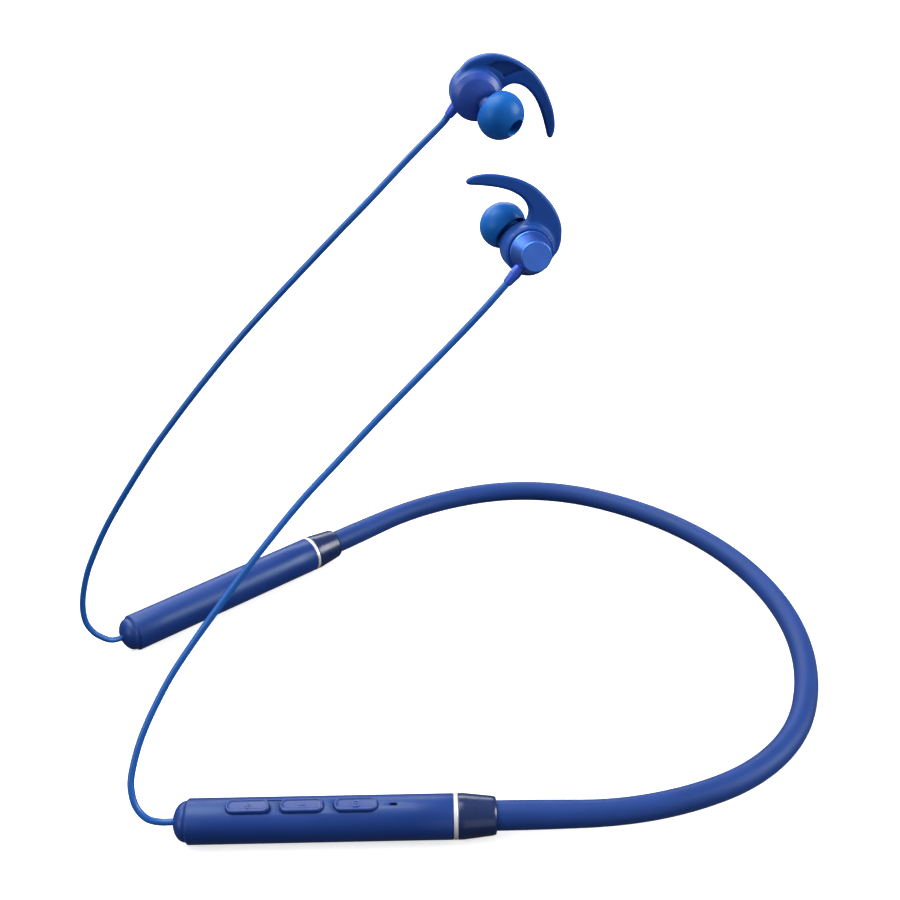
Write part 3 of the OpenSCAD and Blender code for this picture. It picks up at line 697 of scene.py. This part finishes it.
def tip_profile():
    """Mushroom tip: a ball-like dome that turns in at the front to a stem on the nozzle."""
    outer = [(4.78, 5.8), (4.98, 5.75), (5.2, 6.0)]
    for a in np.linspace(-32, 66, 16):
        outer.append((6.1 * math.cos(math.radians(a)),
                      9.05 + (5.6 if a > 0 else 5.9) * math.sin(math.radians(a))))
    outer += [(2.6, 14.18), (2.38, 14.22), (2.24, 14.1), (2.18, 13.85)]
    inner = [(2.18, NOZZLE_LEN + 0.3), (NOZZLE_R + 0.04, NOZZLE_LEN + 0.28), (NOZZLE_R + 0.04, 6.45),
             (3.3, 6.45)]
    for a in np.linspace(58, -30, 12):
        inner.append((5.45 * math.cos(math.radians(a)),
                      9.15 + (4.6 if a > 0 else 5.9) * math.sin(math.radians(a))))
    return outer + inner


def surface_nets(f, low, step):
    """Quads on the zero surface of a field on a grid; f is below zero inside."""
    shape = np.array(f.shape) - 1
    total, count = np.zeros((*shape, 3)), np.zeros(shape)

    def corner(d):
        return f[d[0]:d[0] + shape[0], d[1]:d[1] + shape[1], d[2]:d[2] + shape[2]]

    for axis in range(3):
        for d in ((0, 0), (0, 1), (1, 0), (1, 1)):
            a = list(d)
            a.insert(axis, 0)
            b = list(a)
            b[axis] = 1
            fa, fb = corner(a), corner(b)
            hit = (fa < 0) != (fb < 0)
            t = np.where(hit, fa / np.where(fa == fb, 1, fa - fb), 0)
            for c in range(3):
                total[..., c] += np.where(hit, a[c] + (t if c == axis else 0), 0)
            count += hit
    used = count > 0
    index = np.full(shape, -1)
    index[used] = np.arange(used.sum())
    cells = np.argwhere(used)
    verts = low + step * (cells + total[used] / count[used][:, None])
    faces = []
    for axis in range(3):
        o1, o2 = [k for k in range(3) if k != axis]
        first = [slice(0, n) for n in f.shape]
        second = [slice(0, n) for n in f.shape]
        first[axis], second[axis] = slice(0, -1), slice(1, None)
        a, b = f[tuple(first)] < 0, f[tuple(second)] < 0
        for p in np.argwhere(a != b):
            if min(p[o1], p[o2]) < 1 or p[o1] >= shape[o1] or p[o2] >= shape[o2]:
                continue
            quad = []
            for s1, s2 in ((0, 0), (1, 0), (1, 1), (0, 1)):
                q = p.copy()
                q[o1] -= s1
                q[o2] -= s2
                quad.append(index[tuple(q)])
            flip = bool(a[tuple(p)]) == (axis != 1)
            faces.append(tuple(int(i) for i in (quad[::-1] if flip else quad)))
    return verts, faces


def polygon_distance(x, y, points):
    """Signed distance from a closed polygon, below zero inside."""
    best, inside = np.full(x.shape, 1e9), np.zeros(x.shape, bool)
    for (ax, ay), (bx, by) in zip(points, points[1:] + points[:1]):
        ex, ey = bx - ax, by - ay
        t = np.clip(((x - ax) * ex + (y - ay) * ey) / (ex * ex + ey * ey + 1e-12), 0, 1)
        best = np.minimum(best, np.hypot(x - ax - t * ex, y - ay - t * ey))
        if ay != by:
            inside ^= ((ay > y) != (by > y)) & (x < ex * (y - ay) / ey + ax)
    return np.where(inside, -best, best)


def smooth_min(a, b, k):
    h = np.clip(0.5 + 0.5 * (b - a) / k, 0, 1)
    return b + (a - b) * h - k * h * (1 - h)


def smooth_max(a, b, k):
    return -smooth_min(-a, -b, k)


def fin_shape(step):
    """Sleeve and horn as one soft form: a rounded plate that tapers to the horn's tip, a
    ring that hugs the housing, and a pocket with a rib on the side of the nozzle."""
    low, high = np.array([-14.5, -25.0, -3.8]), np.array([8.0, 8.4, 5.4])
    axes = [np.arange(low[i], high[i] + step, step) for i in range(3)]
    x, y = np.meshgrid(axes[0], axes[1], indexing="ij")
    outline = [tuple(p) for p in catmull(FIN_OUTLINE, 3)]
    plate = polygon_distance(x, y, outline)[:, :, None]
    z = axes[2][None, None, :]
    along = np.clip((-y[:, :, None] - 4.0) / 19.0, 0, 1)
    half = 1.5 - 0.62 * along
    edge = 0.95 - 0.25 * along
    dx, dz = plate + edge, np.abs(z) - (half - edge)
    fin = np.hypot(np.maximum(dx, 0), np.maximum(dz, 0)) + np.minimum(np.maximum(dx, dz), 0) - edge
    pocket_rim = [(-7.0, 2.4), (-9.2, 1.2), (-11.1, -1.4), (-11.8, -4.4), (-11.9, -6.2),
                  (-10.4, -4.9), (-7.4, -3.1), (-7.75, -1.8), (-7.6, 0.7)]
    rim = polygon_distance(x, y, [tuple(p) for p in pocket_rim])[:, :, None] + 0.05
    fin = smooth_max(fin, -smooth_max(rim, z + 0.05, 0.25), 0.3)
    r = np.hypot(x, y)
    section = [(5.0, 4.25), (5.6, 4.3), (6.05, 4.0), (6.3, 3.2), (6.35, 1.0), (6.3, -1.5),
               (6.2, -2.5), (6.05, -2.9), (5.0, -2.9)]
    rr = np.repeat(r[:, :, None], len(axes[2]), 2)
    zz = np.broadcast_to(z, rr.shape)
    sleeve = polygon_distance(rr, zz, section)
    body = smooth_min(fin, sleeve, 1.0 + 0.5 * np.clip(z, 0, 1))
    body = smooth_max(body, 5.53 - rr, 0.12)
    return surface_nets(body, low, step)


fin_mesh = fin_shape(0.22)


def earbud(which):
    at, body = bud_frame(which), f"{which}_bud"
    face = [(r, 10.0) for r in np.linspace(3.4, 0.001, 9)]
    inside = [(0.001, 9.2), (3.2, 9.2), (4.4, 7.0), (4.8, 4.7), (4.8, 0.7)]
    piece(f"{which}_metal_cup", *lathe(CUP + face + inside, 128), "metal", body, at,
          "metal_blue", [f"{which}_bud_cup"])
    piece(f"{which}_front_dome", *lathe(FRONT_DOME, 96), "front", body, at,
          "collar_navy", [f"{which}_bud_front"])
    piece(f"{which}_nozzle_neck", *lathe(NECK, 64), "front", body, nozzle_frame(which), "collar_navy")
    boot = rounded([(0.001, BOOT_IN), (BOOT_R, BOOT_IN), (BOOT_R, 6.9), (BOOT_END_R + 0.08, BOOT_LEN - 0.5),
                    (BOOT_END_R - 0.1, BOOT_LEN - 0.02), (0.001, BOOT_LEN - 0.02)], 0.12, 3)
    piece(f"{which}_strain_boot", *shifted(lathe(boot, 48, True), 0, 0, BOOT_Z), "boot", body, at,
          "boot_blue", [f"{which}_boot"])
    piece(f"{which}_soft_tip", *lathe(tip_profile(), 80), "tip", f"{which}_tip",
          nozzle_frame(which), "tip_blue", [f"{which}_ear_tip"])
    piece(f"{which}_soft_fin", *fin_mesh, "fin", f"{which}_fin", at,
          "silicone_blue", [f"{which}_ear_fin"])


for which in ("left", "right"):
    earbud(which)

# ---- CAD nodes that stay: their materials ----

KEPT = {
    "control_chassis": "grey", "control_board": "board", "button_switches": "steel",
    "button_membrane": "membrane", "radio_shield": "steel", "microphone": "steel",
    "charging_port": "steel", "battery_cell": "cell", "cell_pads": "foam",
    "protection_board": "board", "battery_leads": "lead",
    "left_cable_anchor": "grey", "right_cable_anchor": "grey",
    "left_driver": "grey", "right_driver": "grey", "left_magnet": "magnet",
    "right_magnet": "magnet", "left_nozzle_mesh": "mesh", "right_nozzle_mesh": "mesh",
}
for node, mat in KEPT.items():
    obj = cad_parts[node]
    obj.data.materials.clear()
    obj.data.materials.append(M[mat])

# ---- floor, light ----

floor_mesh = bpy.data.meshes.new("floor")
floor_gap = 0.0002
floor_z = cad_box[0][2] - floor_gap
floor_mesh.from_pydata([(x, y, floor_z) for x, y in ((-4, -4), (4, -4), (4, 6), (-4, 6))], [], [(0, 1, 2, 3)])
floor = bpy.data.objects.new("floor", floor_mesh)
scene.collection.objects.link(floor)
paper = node_material("floor_paper", (0.92, 0.92, 0.925), 0.9, mottle=0.004, patch=6, grain=400,
                      bump=0.02, rough_spread=0.02, Emission_Color=(1, 1, 1, 1), Emission_Strength=0.62)
floor.data.materials.append(paper)
floor.visible_diffuse = False
floor.visible_glossy = False


def area_light(name, place, target, size, power):
    light = bpy.data.objects.new(name, bpy.data.lights.new(name, "AREA"))
    light.data.shape = "RECTANGLE"
    light.data.size, light.data.size_y = size
    light.data.energy = power
    light.location = place
    light.rotation_mode = "QUATERNION"
    light.rotation_quaternion = (Vector(target) - Vector(place)).to_track_quat("-Z", "Y")
    scene.collection.objects.link(light)


area_light("overhead_softbox", (-0.50, 0.30, 1.1), (-0.1, 0.0, 0.05), (1.0, 1.0), 17)
area_light("left_fill", (-1.30, -0.25, 0.45), (-0.1, 0.0, 0.08), (0.8, 0.8), 5)
area_light("right_fill", (1.05, -0.60, 0.60), (-0.1, 0.0, 0.08), (0.8, 0.8), 17)
area_light("back_strip", (-0.05, 1.0, 0.55), (-0.1, 0.0, 0.05), (1.5, 0.3), 7)
# A light card placed where the near earbud's metal face mirrors it into the camera.
bud_at = bud_frame("left").translation
face_way = (bud_frame("left").to_3x3() @ Vector((0, 0, 1))).normalized()
sight = (bud_at - camera.matrix_world.translation).normalized()
card_way = sight - 2 * sight.dot(face_way) * face_way
area_light("metal_card", bud_at + 0.8 * card_way, bud_at, (0.5, 0.5), 0.5)
world = bpy.data.worlds.new("studio")
scene.world = world
world.use_nodes = True
sky, sky_links = world.node_tree.nodes, world.node_tree.links
way = sky.new("ShaderNodeTexCoord")
split = sky.new("ShaderNodeSeparateXYZ")
shade = sky.new("ShaderNodeMapRange")
shade.inputs["From Min"].default_value = -0.3
shade.inputs["From Max"].default_value = 0.9
shade.inputs["To Min"].default_value = 0.08
shade.inputs["To Max"].default_value = 0.34
sky_links.new(way.outputs["Generated"], split.inputs["Vector"])
sky_links.new(split.outputs["Z"], shade.inputs["Value"])
sky_links.new(shade.outputs["Result"], sky["Background"].inputs["Strength"])
sky["Background"].inputs["Color"].default_value = (1, 1, 1, 1)
scene.view_settings.view_transform = "Standard"
